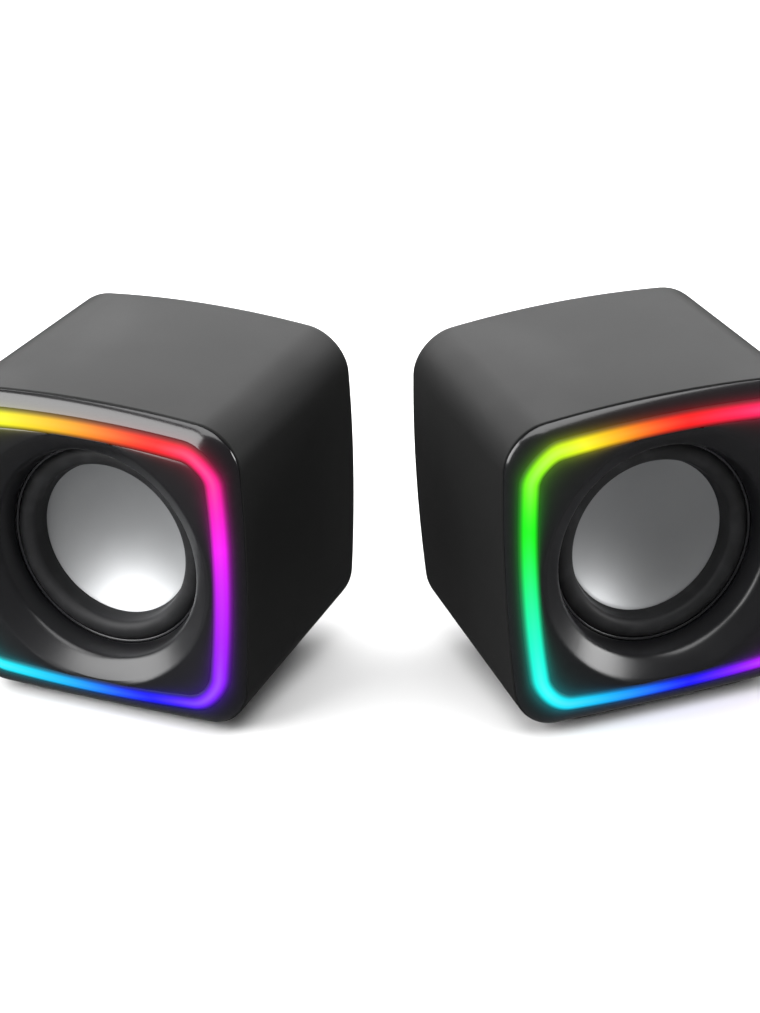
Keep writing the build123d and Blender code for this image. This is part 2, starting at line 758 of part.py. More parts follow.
def make_volume_knob():
    """A turned knob with a grooved rim, hollow round the nut, and a pointer groove."""
    front = PANEL_BACK + 0.9
    grooves = 24
    pointer = KNOB_RADIUS * 0.55
    with BuildPart() as knob:
        with BuildSketch(upright(KNOB_BACK, POT_HEIGHT)):
            Circle(KNOB_RADIUS)
        extrude(amount=KNOB_BACK - front)
        fillet(knob.edges().filter_by(GeomType.CIRCLE).group_by(Axis.Y)[-1], 0.8)
        with BuildSketch(upright(KNOB_BACK - 1.5, POT_HEIGHT)):
            with PolarLocations(KNOB_RADIUS + 0.25, grooves):
                Circle(0.6)
        extrude(amount=KNOB_BACK, mode=Mode.SUBTRACT)
        with BuildSketch(upright(BUSHING_END + 0.4, POT_HEIGHT)):
            Circle(6.4)
        extrude(amount=BUSHING_END, mode=Mode.SUBTRACT)
        with BuildSketch(upright(KNOB_BACK - 1.9, POT_HEIGHT)):
            Circle(SHAFT_RADIUS + 0.01)
        extrude(amount=KNOB_BACK, mode=Mode.SUBTRACT)
        with Locations((0, KNOB_BACK, POT_HEIGHT + KNOB_RADIUS - pointer / 2)):
            Box(1.0, 1.2, pointer, mode=Mode.SUBTRACT)
    return knob.part


# ---------------------------------------------------------------- wiring


def lead_route(side, sign):
    """One wire's way from a tag to the board's socket, or to the gland where there is no board."""
    tag = (sign * TAG_X, 22.6, TAG_HEIGHT)
    if side == "right":
        x = SOCKET_X + sign * 1.6
        socket = [(x, 35.9, SOCKET_HEIGHT), (x, 39.5, SOCKET_HEIGHT)]
        return [tag, (sign * 3.0 - 1, 27, 11.5), (x, 35.9, 15), *socket]
    x = sign * 0.8
    return [tag, (sign * 3.0, 30, 11), (x, 41, 12), (x, 48, GLAND_HEIGHT), (x, 53.5, GLAND_HEIGHT)]


def make_driver_leads(side):
    """Two insulated wires that feed the driver's tags."""
    with BuildPart() as leads:
        for sign in (-1, 1):
            with BuildLine() as route:
                FilletPolyline(*lead_route(side, sign), radius=2.0)
            with BuildSketch(Plane(origin=route.line @ 0, z_dir=route.line % 0)):
                Circle(LEAD_RADIUS)
            sweep(path=route.line)
    return leads.part


# ---------------------------------------------------------------- the pair


def speaker_pieces(side):
    """Every piece of one speaker, by name, in the speaker's own frame."""
    ear_reach = EAR_PITCH_RADIUS / sqrt(2)
    ear_places = corners((ear_reach, ear_reach))
    pieces = {
        "cabinet": make_cabinet(),
        "front_frame": make_front_frame(),
        "light_guide": make_light_guide(),
        "led_board": make_led_board(),
        "leds": make_leds(),
        "baffle": make_baffle(),
        "base_pad": make_base_pad(),
        "back_panel": make_back_panel(side),
        "cable_glands": make_glands(side),
        "baffle_screws": screws(corners(BAFFLE_SCREW), 12.02, 12.5, 1.0, 2.4, 1.5),
        "back_screws": screws(corners(BACK_SCREW), PANEL_BACK + 0.02, 8.5, 1.0, 2.4, 1.4),
        "driver_screws": screws(ear_places, FLANGE_FRONT + FLANGE_THICK + 0.02, 7.5, 1.0, 2.3, 1.4),
        "driver_gasket": make_gasket(),
        "surround": make_surround(),
        "dish": make_dish(),
        "coil_former": make_coil_former(),
        "voice_coil": make_voice_coil(),
        "spider": make_spider(),
        "basket": make_basket(),
        "top_plate": make_top_plate(),
        "magnet": make_magnet(),
        "yoke": make_yoke(),
        "terminals": make_terminals(),
        "driver_leads": make_driver_leads(side),
    }
    if side == "right":
        pieces["amp_board"] = make_amp_board()
        pieces["board_screws"] = make_board_screws()
        pieces["capacitors"] = make_capacitors()
        pieces["amp_chip"] = make_amp_chip()
        pieces["connectors"] = make_connectors()
        pieces["volume_pot"] = make_volume_pot()
        pieces["pot_nut"] = make_pot_nut()
        pieces["pot_shaft"] = make_pot_shaft()
        pieces["volume_knob"] = make_volume_knob()
    return pieces


os.makedirs("parts", exist_ok=True)
for side, (x, y, turn) in PLACES.items():
    place = Location((x, y, 0), (0, 0, turn))
    for name, piece in speaker_pieces(side).items():
        placed = place * piece
        placed.label = f"{side}_{name}"
        export_step(placed, f"parts/{placed.label}.step")
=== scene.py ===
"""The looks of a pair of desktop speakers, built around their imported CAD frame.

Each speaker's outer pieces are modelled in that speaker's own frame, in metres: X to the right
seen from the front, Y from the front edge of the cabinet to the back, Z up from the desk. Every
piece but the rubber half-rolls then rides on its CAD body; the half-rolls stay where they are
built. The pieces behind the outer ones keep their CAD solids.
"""

import json
from collections import namedtuple
from math import atan2, cos, hypot, pi, radians, sin, sqrt

import bmesh
import bpy
from bpy.props import FloatProperty, FloatVectorProperty, PointerProperty
from bpy.types import Operator, Panel, PropertyGroup
from mathutils import Matrix, Vector


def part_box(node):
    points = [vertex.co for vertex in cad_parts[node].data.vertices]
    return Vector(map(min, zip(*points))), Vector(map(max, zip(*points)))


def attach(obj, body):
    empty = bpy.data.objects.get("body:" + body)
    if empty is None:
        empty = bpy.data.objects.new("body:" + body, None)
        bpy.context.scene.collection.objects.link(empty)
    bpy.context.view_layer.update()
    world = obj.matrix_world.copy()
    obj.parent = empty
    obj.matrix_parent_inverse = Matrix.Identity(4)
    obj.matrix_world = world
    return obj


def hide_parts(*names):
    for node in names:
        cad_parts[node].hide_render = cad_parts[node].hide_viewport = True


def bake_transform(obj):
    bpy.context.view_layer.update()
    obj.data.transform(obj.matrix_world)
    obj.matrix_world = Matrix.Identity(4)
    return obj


bl_info = {
    "name": "Desktop speakers",
    "version": (1, 0, 0),
    "blender": (4, 5, 0),
    "location": "3D View > Sidebar > Speakers",
    "description": "Builds a pair of small desktop speakers with lit rings round their fronts",
    "category": "Object",
}

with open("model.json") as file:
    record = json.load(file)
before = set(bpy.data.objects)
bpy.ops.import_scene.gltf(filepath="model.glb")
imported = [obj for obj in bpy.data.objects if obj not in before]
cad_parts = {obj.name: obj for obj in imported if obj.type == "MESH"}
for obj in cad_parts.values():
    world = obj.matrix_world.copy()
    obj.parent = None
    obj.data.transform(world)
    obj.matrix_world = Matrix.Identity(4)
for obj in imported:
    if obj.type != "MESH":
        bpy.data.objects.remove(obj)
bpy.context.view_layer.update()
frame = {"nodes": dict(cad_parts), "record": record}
RECORD = frame["record"]
SIDES = ("left", "right")
MM = 0.001
UP = Vector((0, 0, 1))

PAD_MIDDLE = 25.95 * MM
AROUND_SIDE = 18
AROUND_CORNER = 12
AROUND_AXIS = 144


# ---------------------------------------------------------------- where things are


def joint(name):
    """The record's entry for a joint."""
    return next(j for j in RECORD["behaviour"]["joints"] if j["name"] == name)


def mount(name):
    """The record's entry for a mount."""
    return next(m for m in RECORD["mounts"] if m["name"] == name)


def speaker_place(side):
    """The matrix from one speaker's own frame to the frame of the pair."""
    back = -Vector(joint(f"{side}_cone_travel")["axis"]).normalized()
    across = back.cross(UP)
    origin = Vector(mount(f"{side}_base_rest")["pos_m"]) - PAD_MIDDLE * back
    turn = Matrix((across, back, UP)).transposed().to_4x4()
    return Matrix.Translation(origin) @ turn


PLACES = {side: speaker_place(side) for side in SIDES}
AXIS_HEIGHT = sum(corner.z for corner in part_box("right_dish")) / 2


# ---------------------------------------------------------------- settings


class CabinetSettings(PropertyGroup):
    """Sizes of the cabinet and its bevelled front."""

    half_width: FloatProperty(name="Half width", description="Half the width at the front edge",
                              default=38.6 * MM, unit="LENGTH")
    back_half_width: FloatProperty(name="Back half width", description="Half the width at the back",
                                   default=36.6 * MM, unit="LENGTH")
    top: FloatProperty(name="Top", description="Height of the top at the front edge",
                       default=77.4 * MM, unit="LENGTH")
    back_top: FloatProperty(name="Back top", description="Height of the top at the back",
                            default=78.7 * MM, unit="LENGTH")
    bottom: FloatProperty(name="Bottom", description="Height of the floor at the front edge",
                          default=1.2 * MM, unit="LENGTH")
    back_bottom: FloatProperty(name="Back bottom", description="Height of the floor at the back",
                               default=6.4 * MM, unit="LENGTH")
    depth: FloatProperty(name="Depth", description="Length of the cabinet behind its front edge",
                         default=57.6 * MM, unit="LENGTH")
    corner: FloatProperty(name="Corner", description="Radius of the four long corners",
                          default=9.6 * MM, unit="LENGTH")
    side_bow: FloatProperty(name="Side bow", description="How far each side swells",
                            default=1.6 * MM, unit="LENGTH")
    top_bow: FloatProperty(name="Top bow", description="How far the top swells",
                           default=2.4 * MM, unit="LENGTH")
    taper: FloatProperty(name="Taper", description="How much wider the top is than the middle",
                         default=0.026)
    wall: FloatProperty(name="Wall", description="Thickness of the cabinet's wall",
                        default=2.2 * MM, unit="LENGTH")
    back_round: FloatProperty(name="Back round", description="Radius of the back edge",
                              default=2.2 * MM, unit="LENGTH")
    bevel_end: FloatProperty(name="Bevel end", description="Where the front bevel ends, from the edge",
                             default=9.6 * MM, unit="LENGTH")
    bevel_rise: FloatProperty(name="Bevel rise", description="How far the front bulges forward",
                              default=4.6 * MM, unit="LENGTH")


class RingSettings(PropertyGroup):
    """Sizes and brightness of the lit ring."""

    half_width: FloatProperty(name="Half width", description="Half the width of its middle line",
                              default=33.9 * MM, unit="LENGTH")
    half_height: FloatProperty(name="Half height", description="Half the height of its middle line",
                               default=32.5 * MM, unit="LENGTH")
    corner: FloatProperty(name="Corner", description="Corner radius of its middle line",
                          default=7.4 * MM, unit="LENGTH")
    band: FloatProperty(name="Band", description="Width of the lit band",
                        default=4.1 * MM, unit="LENGTH")
    bow: FloatProperty(name="Bow", description="How far each side swells",
                       default=1.9 * MM, unit="LENGTH")
    glow: FloatProperty(name="Glow", description="Brightness of the ring", default=1.0, min=0.0)


class DriverSettings(PropertyGroup):
    """Sizes of the bowl and the driver in it."""

    mouth: FloatProperty(name="Mouth", description="Radius of the bowl's mouth",
                         default=30.4 * MM, unit="LENGTH")
    throat: FloatProperty(name="Throat", description="Radius where the bevel ends",
                          default=25.8 * MM, unit="LENGTH")
    rim: FloatProperty(name="Rim", description="Radius inside the driver's rim",
                       default=24.4 * MM, unit="LENGTH")
    dish: FloatProperty(name="Dish", description="Radius of the dish",
                        default=18.6 * MM, unit="LENGTH")
    dish_depth: FloatProperty(name="Dish depth", description="How deep the dish is",
                              default=4.8 * MM, unit="LENGTH")


class FinishSettings(PropertyGroup):
    """Colours of the main finishes."""

    shell: FloatVectorProperty(name="Shell", description="Matt plastic of the cabinet", size=3,
                               subtype="COLOR", default=(0.011, 0.011, 0.011), min=0, max=1)
    gloss: FloatVectorProperty(name="Gloss black", description="Gloss plastic of the front", size=3,
                               subtype="COLOR", default=(0.006, 0.006, 0.007), min=0, max=1)
    dish: FloatVectorProperty(name="Dish", description="Spun metal of the dish", size=3,
                              subtype="COLOR", default=(0.60, 0.61, 0.62), min=0, max=1)
    rubber: FloatVectorProperty(name="Rubber", description="Rubber of the surround", size=3,
                                subtype="COLOR", default=(0.012, 0.012, 0.013), min=0, max=1)
    floor: FloatVectorProperty(name="Floor", description="The pale floor", size=3,
                               subtype="COLOR", default=(0.86, 0.86, 0.86), min=0, max=1)


def settings(group):
    """One of the settings groups kept on the scene: cabinet, ring, driver or finish."""
    return getattr(bpy.context.scene, f"speaker_{group}")


# ---------------------------------------------------------------- outlines

CORNERS = ((1, -1), (1, 1), (-1, 1), (-1, -1))
CORNER_SHRINK = 0.55
BEVEL_START = 0.35 * MM
BEVEL_POWER = 1.5
BOTTOM_BOW = 0.5 * MM
PLUG_INSET = 1.75 * MM
RING_GAP = 0.05 * MM
EDGE_SINK = 0.05 * MM
EDGE_DEPTH = 0.3 * MM
SHARP_ANGLE = radians(38)


def between(a, b, part):
    """The value or vector that lies part of the way from a to b."""
    return a + (b - a) * part


def rounded_rectangle(half_width, half_height, corner):
    """Points round a plain rounded rectangle, anticlockwise from its bottom right corner."""
    centres = [(sx * (half_width - corner), sz * (half_height - corner)) for sx, sz in CORNERS]
    points = []
    for turn, (cx, cz) in enumerate(centres):
        start, end = (turn - 1) * pi / 2, turn * pi / 2
        for i in range(AROUND_CORNER + 1):
            angle = between(start, end, i / AROUND_CORNER)
            points.append(Vector((cx + corner * cos(angle), cz + corner * sin(angle))))
        nx, nz = centres[(turn + 1) % 4]
        first = points[-1]
        last = Vector((nx + corner * cos(end), nz + corner * sin(end)))
        points += [between(first, last, i / AROUND_SIDE) for i in range(1, AROUND_SIDE)]
    return points


def swell(points, half_width, half_height, middle, bows):
    """Bows the sides of an outline and widens its top, and gives points as X and Z."""
    side_bow, top_bow, bottom_bow = bows
    taper = settings("cabinet").taper
    swollen = []
    for x, z in points:
        across, up = x / half_width, z / half_height
        bow = top_bow if z > 0 else bottom_bow
        wide = x * (1 - side_bow / half_width * up**2) * (1 + taper * up)
        swollen.append((wide, middle + z * (1 - bow / half_height * across**2)))
    return swollen


def body_outline(inset, depth=0.0):
    """The cabinet's outline at a depth, drawn in by inset, as X and Z."""
    cabinet = settings("cabinet")
    back = max(depth, 0) / cabinet.depth
    half_width = between(cabinet.half_width, cabinet.back_half_width, back) - inset
    top = between(cabinet.top, cabinet.back_top, back)
    bottom = between(cabinet.bottom, cabinet.back_bottom, back)
    half_height = (top - bottom) / 2 - inset
    plain = rounded_rectangle(half_width, half_height, cabinet.corner - CORNER_SHRINK * inset)
    bows = (cabinet.side_bow, cabinet.top_bow, BOTTOM_BOW)
    return swell(plain, half_width, half_height, (top + bottom) / 2, bows)


def ring_outline(offset):
    """The lit ring's middle line moved outwards by offset, as X and Z."""
    ring = settings("ring")
    half_width, half_height = ring.half_width + offset, ring.half_height + offset
    plain = rounded_rectangle(half_width, half_height, ring.corner + offset)
    return swell(plain, half_width, half_height, AXIS_HEIGHT, (ring.bow, ring.bow, ring.bow))


def front_rise(x, z):
    """How far the bevelled front stands forward of the cabinet's edge at a point of it."""
    cabinet = settings("cabinet")
    half_height = (cabinet.top - cabinet.bottom) / 2
    up = (z - (cabinet.top + cabinet.bottom) / 2) / half_height
    across = x / cabinet.half_width
    bow = cabinet.top_bow if up > 0 else BOTTOM_BOW
    plain_x = abs(x) / (1 - cabinet.side_bow / cabinet.half_width * up**2) / (1 + cabinet.taper * up)
    plain_z = abs(up) * half_height / (1 - bow / half_height * across**2)
    over_x = plain_x - cabinet.half_width + cabinet.corner
    over_z = plain_z - half_height + cabinet.corner
    inset = cabinet.corner - hypot(max(over_x, 0), max(over_z, 0)) - min(max(over_x, over_z), 0)
    part = min(max((inset - BEVEL_START) / (cabinet.bevel_end - BEVEL_START), 0), 1)
    return cabinet.bevel_rise * (1 - (1 - part) ** BEVEL_POWER) ** (1 / BEVEL_POWER)


def at_depth(outline, depth):
    """A loop of an outline's points at one depth."""
    return [Vector((x, depth, z)) for x, z in outline]


def on_front(outline, sink=0.0):
    """A loop of an outline's points laid on the bevelled front, or sunk a little into it."""
    return [Vector((x, sink - front_rise(x, z), z)) for x, z in outline]


def circle(radius, depth, count=AROUND_AXIS):
    """A loop round the driver's axis."""
    angles = [2 * pi * i / count for i in range(count)]
    return [Vector((radius * cos(a), depth, AXIS_HEIGHT + radius * sin(a))) for a in angles]


def circle_towards(outline, radius, depth):
    """A loop round the driver's axis with one point in the direction of each outline point."""
    angles = [atan2(z - AXIS_HEIGHT, x) for x, z in outline]
    return [Vector((radius * cos(a), depth, AXIS_HEIGHT + radius * sin(a))) for a in angles]


def soften(corners, steps=5):
    """A smooth line through corners given as (first, second, radius), open at its ends."""
    line = []
    for i, (a, b, radius) in enumerate(corners):
        point = Vector((a, b))
        if radius == 0 or i in (0, len(corners) - 1):
            line.append(point)
            continue
        before = Vector(corners[i - 1][:2]) - point
        after = Vector(corners[i + 1][:2]) - point
        start = point + before.normalized() * min(radius, before.length / 2)
        end = point + after.normalized() * min(radius, after.length / 2)
        for step in range(steps + 1):
            part = step / steps
            line.append(between(between(start, point, part), between(point, end, part), part))
    return line


# ---------------------------------------------------------------- meshes


def piece_from(name, vertices, faces, place):
    """A smooth-shaded object with its normals outwards, set in place."""
    mesh = bpy.data.meshes.new(name)
    mesh.from_pydata([tuple(v) for v in vertices], [], faces)
    work = bmesh.new()
    work.from_mesh(mesh)
    bmesh.ops.recalc_face_normals(work, faces=work.faces)
    work.to_mesh(mesh)
    work.free()
    mesh.shade_smooth()
    mesh.set_sharp_from_angle(angle=SHARP_ANGLE)
    piece = bpy.data.objects.new(name, mesh)
    bpy.context.scene.collection.objects.link(piece)
    piece.matrix_world = place
    return piece


def skin(name, loops, place):
    """A closed piece: quads join each loop to the next, and the last loop to the first."""
    count = len(loops[0])
    vertices = [point for loop in loops for point in loop]
    faces = []
    for row in range(len(loops)):
        here, there = row * count, (row + 1) % len(loops) * count
        for i in range(count):
            j = (i + 1) % count
            faces.append((here + i, here + j, there + j, there + i))
    return piece_from(name, vertices, faces, place)


def capped_skin(name, loops, first, last, place):
    """A closed piece whose first and last loops are filled by a fan of triangles to a point."""
    count = len(loops[0])
    vertices = [point for loop in loops for point in loop] + [first, last]
    faces = []
    for row in range(len(loops) - 1):
        here, there = row * count, (row + 1) * count
        for i in range(count):
            j = (i + 1) % count
            faces.append((here + i, here + j, there + j, there + i))
    end = (len(loops) - 1) * count
    for i in range(count):
        j = (i + 1) % count
        faces.append((len(vertices) - 2, j, i))
        faces.append((len(vertices) - 1, end + i, end + j))
    return piece_from(name, vertices, faces, place)


def turned(name, profile, place):
    """A closed ring turned about the driver's axis from a profile of radius and depth."""
    return skin(name, [circle(radius, depth) for radius, depth in profile], place)


def dress(piece, finish):
    """Gives a piece one material."""
    piece.data.materials.clear()
    piece.data.materials.append(finish)
    return piece


def fit(piece, body, node, finish):
    """Puts a new piece on its body in place of a CAD node, with its finish."""
    dress(piece, finish)
    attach(piece, body)
    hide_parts(node)


# ---------------------------------------------------------------- shader sums


class Value:
    """A shader socket that takes part in plain arithmetic."""

    def __init__(self, finish, socket):
        self.finish = finish
        self.socket = socket

    def sum(self, operation, *terms):
        """One step of arithmetic in the same material."""
        return self.finish.sum(operation, *terms)

    def __add__(self, other):
        return self.sum("ADD", self, other)

    def __radd__(self, other):
        return self.sum("ADD", other, self)

    def __sub__(self, other):
        return self.sum("SUBTRACT", self, other)

    def __rsub__(self, other):
        return self.sum("SUBTRACT", other, self)

    def __mul__(self, other):
        return self.sum("MULTIPLY", self, other)

    def __rmul__(self, other):
        return self.sum("MULTIPLY", other, self)

    def __truediv__(self, other):
        return self.sum("DIVIDE", self, other)

    def __pow__(self, other):
        return self.sum("POWER", self, other)

    def clamped(self):
        """The value held between 0 and 1."""
        return self.sum("MINIMUM", self.sum("MAXIMUM", self, 0.0), 1.0)

    def size(self):
        """The value without its sign."""
        return self.sum("ABSOLUTE", self)

    def step(self, low, high):
        """0 below low, 1 above high and a smooth rise between them."""
        settings_first = {"interpolation_type": "SMOOTHSTEP"}
        inputs = {"Value": self, "From Min": low, "From Max": high}
        return self.finish.node("ShaderNodeMapRange", settings_first, inputs)


class Finish:
    """A material while it is built."""

    def __init__(self, name):
        self.material = bpy.data.materials.new(name)
        self.material.use_nodes = True
        self.tree = self.material.node_tree
        self.tree.nodes.clear()

    def node(self, kind, before=None, inputs=None, output=0):
        """Adds a node: its settings first, then the values or links of its sockets."""
        added = self.tree.nodes.new(kind)
        for name, value in (before or {}).items():
            setattr(added, name, value)
        for name, value in (inputs or {}).items():
            if isinstance(value, Value):
                self.tree.links.new(value.socket, added.inputs[name])
            else:
                added.inputs[name].default_value = value
        return Value(self, added.outputs[output])

    def sum(self, operation, *terms):
        """One step of arithmetic on values and numbers."""
        return self.node("ShaderNodeMath", {"operation": operation}, dict(enumerate(terms)))

    def place(self):
        """The point on the surface in the object's own frame, in metres."""
        return self.node("ShaderNodeTexCoord", output="Object")

    def part(self, vector, axis):
        """One coordinate of a vector."""
        return self.node("ShaderNodeSeparateXYZ", inputs={0: vector}, output=axis)

    def attribute(self, name):
        """A number stored on the mesh."""
        return self.node("ShaderNodeAttribute", {"attribute_name": name}, output="Fac")

    def noise(self, grain, detail=3.0, vector=None, stretch=None):
        """Noise from 0 to 1 whose grain is given in metres."""
        where = vector or self.place()
        if stretch:
            where = self.node("ShaderNodeMapping", inputs={"Vector": where, "Scale": stretch})
        inputs = {"Vector": where, "Scale": 1 / grain, "Detail": detail}
        return self.node("ShaderNodeTexNoise", inputs=inputs)

    def mix(self, part, first, second):
        """A colour between two colours."""
        inputs = {0: part}
        for index, colour in ((6, first), (7, second)):
            inputs[index] = colour if isinstance(colour, Value) else (*colour, 1)
        return self.node("ShaderNodeMix", {"data_type": "RGBA"}, inputs, output=2)

    def bump(self, height, depth):
        """A normal from a height in units of depth, in metres."""
        return self.node("ShaderNodeBump", inputs={"Height": height, "Distance": depth})

    def surface(self, colour, roughness, **others):
        """Ends the material in one shader with the sockets given, and returns the material."""
        inputs = {"Base Color": colour, "Roughness": roughness}
        inputs.update({name.replace("_", " "): value for name, value in others.items()})
        for name in ("Base Color", "Emission Color"):
            if name in inputs and not isinstance(inputs[name], Value):
                inputs[name] = (*inputs[name], 1)
        shader = self.node("ShaderNodeBsdfPrincipled", inputs=inputs)
        output = self.tree.nodes.new("ShaderNodeOutputMaterial")
        self.tree.links.new(shader.socket, output.inputs["Surface"])
        return self.material


def lighter(colour, times):
    """A colour times a number, held at 1."""
    return tuple(min(c * times, 1.0) for c in colour)


# ---------------------------------------------------------------- finishes


def shell_plastic():
    """Fine spark-eroded matt plastic, a little polished by handling."""
    colour = tuple(settings("finish").shell)
    finish = Finish("shell_plastic")
    grain = finish.noise(0.22 * MM, 2.0)
    patches = finish.noise(14 * MM, 4.0)
    handled = finish.noise(38 * MM, 3.0).step(0.45, 0.75)
    base = finish.mix(patches * 0.7 + grain * 0.3, lighter(colour, 0.9), lighter(colour, 1.12))
    roughness = 0.50 + (grain - 0.5) * 0.14 - handled * 0.05
    normal = finish.bump(grain, 0.014 * MM)
    return finish.surface(base, roughness, Normal=normal, Specular_IOR_Level=0.1)


def gloss_plastic(side):
    """Gloss black plastic with hairline scratches and a trace of dust, with a painted glow of the
    ring's light near the ring.
    """
    colour = tuple(settings("finish").gloss)
    finish = Finish(f"{side}_gloss_plastic")
    scratches = finish.noise(0.5 * MM, 2.0, stretch=(1, 1, 0.03)).step(0.62, 0.8)
    dust = finish.noise(1.1 * MM, 5.0).step(0.66, 0.86)
    waves = finish.noise(9 * MM, 1.0)
    base = finish.mix(dust * 0.02, colour, (0.22, 0.21, 0.20))
    roughness = 0.20 + scratches * 0.04 + dust * 0.12
    normal = finish.bump(waves, 0.02 * MM)
    # Painted glow: the ring's light is painted into this plastic as emission, strongest next to the
    # ring.
    painted_glow_colour = ring_light(finish, side, PAINTED_GLOW_PALENESS, finish.attribute("painted_glow"))
    return finish.surface(base, roughness, Normal=normal, Coat_Weight=0.35, Coat_Roughness=0.08,
                          Emission_Color=painted_glow_colour, Emission_Strength=PAINTED_GLOW_STRENGTH)


def satin_black_plastic(side):
    """Satin black plastic of the inner front and its bowl, with a painted glow of the ring's light
    near the ring.
    """
    colour = tuple(settings("finish").gloss)
    finish = Finish(f"{side}_satin_black_plastic")
    patches = finish.noise(6 * MM, 3.0)
    grain = finish.noise(0.3 * MM, 2.0)
    dust = finish.noise(1.3 * MM, 5.0).step(0.64, 0.86)
    base = finish.mix(patches * 0.5 + dust * 0.3, colour, lighter(colour, 1.5))
    roughness = 0.30 + (grain - 0.5) * 0.06 + dust * 0.06
    normal = finish.bump(grain, 0.0012 * MM)
    # Painted glow: the ring's light is painted into this plastic as emission, strongest next to the
    # ring.
    painted_glow_colour = ring_light(finish, side, PAINTED_GLOW_PALENESS, finish.attribute("painted_glow"))
    return finish.surface(base, roughness, Normal=normal, Specular_IOR_Level=0.6,
                          Emission_Color=painted_glow_colour, Emission_Strength=PAINTED_GLOW_STRENGTH)


def spun_metal():
    """Satin aluminium with fine rings from spinning."""
    colour = tuple(settings("finish").dish)
    finish = Finish("spun_metal")
    where = finish.place()
    across, up = finish.part(where, "X"), finish.part(where, "Z") - AXIS_HEIGHT
    radius = (across * across + up * up) ** 0.5
    rings = finish.node("ShaderNodeCombineXYZ", inputs={"X": radius})
    lines = finish.noise(0.10 * MM, 2.0, vector=rings)
    haze = finish.noise(5 * MM, 4.0)
    base = finish.mix(lines * 0.6 + haze * 0.4, lighter(colour, 0.93), lighter(colour, 1.06))
    roughness = 0.49 + (lines - 0.5) * 0.10 + (haze - 0.5) * 0.06
    normal = finish.bump(lines, 0.0016 * MM)
    return finish.surface(base, roughness, Metallic=0.9, Normal=normal)


def soft_rubber():
    """Black butyl rubber with a dry bloom and fine pores."""
    colour = tuple(settings("finish").rubber)
    finish = Finish("soft_rubber")
    pores = finish.noise(0.35 * MM, 3.0)
    bloom = finish.noise(4 * MM, 5.0).step(0.4, 0.8)
    base = finish.mix(bloom * 0.6, colour, lighter(colour, 2.0))
    roughness = 0.54 + bloom * 0.08 + (pores - 0.5) * 0.10
    normal = finish.bump(pores, 0.008 * MM)
    return finish.surface(base, roughness, Normal=normal, Specular_IOR_Level=0.32)


# How the colours of each ring wander from an even rainbow: a steady shift of the hue and two
# swings of it, each with its size, its waves round the ring and the place of a crest.
Swing = namedtuple("Swing", "size waves crest")
RAINBOW_SHIFT = {"left": 0.009, "right": 0.039}
RAINBOW_SWINGS = {
    "left": (Swing(size=0.028, waves=1, crest=0.79), Swing(size=0.024, waves=3, crest=0.16)),
    "right": (Swing(size=0.054, waves=1, crest=0.60), Swing(size=0.049, waves=2, crest=0.42)),
}
CORNER_TURN = 0.375
CORNER_HUE = 1.21
FULL_COLOUR = 0.985
# The painted glow of the ring's light on the black plastic beside it: its strength, paleness, reach
# and fall-off.
PAINTED_GLOW_STRENGTH = 0.13
PAINTED_GLOW_PALENESS = 0.02
PAINTED_GLOW_REACH = 2.2 * MM
PAINTED_GLOW_HALVINGS = 1.6


def store(piece, name, count, values):
    """Stores one number for each loop of points on a piece's mesh."""
    stored = piece.data.attributes.new(name, "FLOAT", "POINT")
    for i in range(len(piece.data.vertices)):
        stored.data[i].value = values[i // count]


def painted_glow(loops, edge):
    """How strong the painted glow of the ring's light is on the plastic at each loop, from its edge
    loop.
    """
    count = len(edge)
    away = [sum((p - q).length for p, q in zip(loop, edge)) / count for loop in loops]
    return [2 ** (-distance / PAINTED_GLOW_REACH * PAINTED_GLOW_HALVINGS) for distance in away]


def ring_light(finish, side, pale, level):
    """The ring's colour at a point of the front, made paler and dimmer by two values."""
    ring = settings("ring")
    where = finish.place()
    right = finish.part(where, "X") / ring.half_width
    up = (finish.part(where, "Z") - AXIS_HEIGHT) / ring.half_height
    turn = CORNER_TURN - finish.sum("ARCTAN2", up, right) / (2 * pi)
    hue = CORNER_HUE + RAINBOW_SHIFT[side] - turn
    for swing in RAINBOW_SWINGS[side]:
        hue = hue + finish.sum("COSINE", (turn - swing.crest) * (2 * pi * swing.waves)) * swing.size
    corners = finish.sum("COSINE", turn * (8 * pi)).clamped() ** 2.0
    saturation = FULL_COLOUR - pale * (1 + corners)
    inputs = {"Red": finish.sum("FRACT", hue), "Green": saturation, "Blue": level}
    colour = finish.node("ShaderNodeCombineColor", {"mode": "HSV"}, inputs)
    return finish.node("ShaderNodeGamma", inputs={"Color": colour, "Gamma": 2.2})


def lit_diffuser(side):
    """Frosted light guide, lit from behind in a rainbow that runs once round the ring."""
    finish = Finish(f"{side}_lit_diffuser")
    across = finish.attribute("across").size()
    core, paleness, edge_dimming = 1 - across.step(0.0, 0.8), 0.14, 0.62
    level = 1 - across.step(0.45, 1.1) * edge_dimming
    light = ring_light(finish, side, core * paleness, level)
    frost = finish.noise(0.6 * MM, 3.0)
    return finish.surface(
        (0.010, 0.010, 0.010), 0.5 + frost * 0.1, Emission_Color=light, Specular_IOR_Level=0.12,
        Emission_Strength=settings("ring").glow, Normal=finish.bump(frost, 0.01 * MM),
    )


def plain_finish(name, colour, roughness, metallic=0.0, grain=0.5, relief=0.01):
    """A finish for a small piece: grain, patches and a little wear, with its sizes in millimetres."""
    spread, patch_size = 1.25, 14
    finish = Finish(name)
    fine = finish.noise(grain * MM, 3.0)
    patches = finish.noise(grain * patch_size * MM, 4.0)
    blend = fine * 0.4 + patches * 0.6
    base = finish.mix(blend, lighter(colour, 1 / spread), lighter(colour, spread))
    wear = roughness + (fine - 0.5) * 0.16 + (patches - 0.5) * 0.10
    normal = finish.bump(fine, relief * MM)
    return finish.surface(base, wear, Metallic=metallic, Normal=normal)


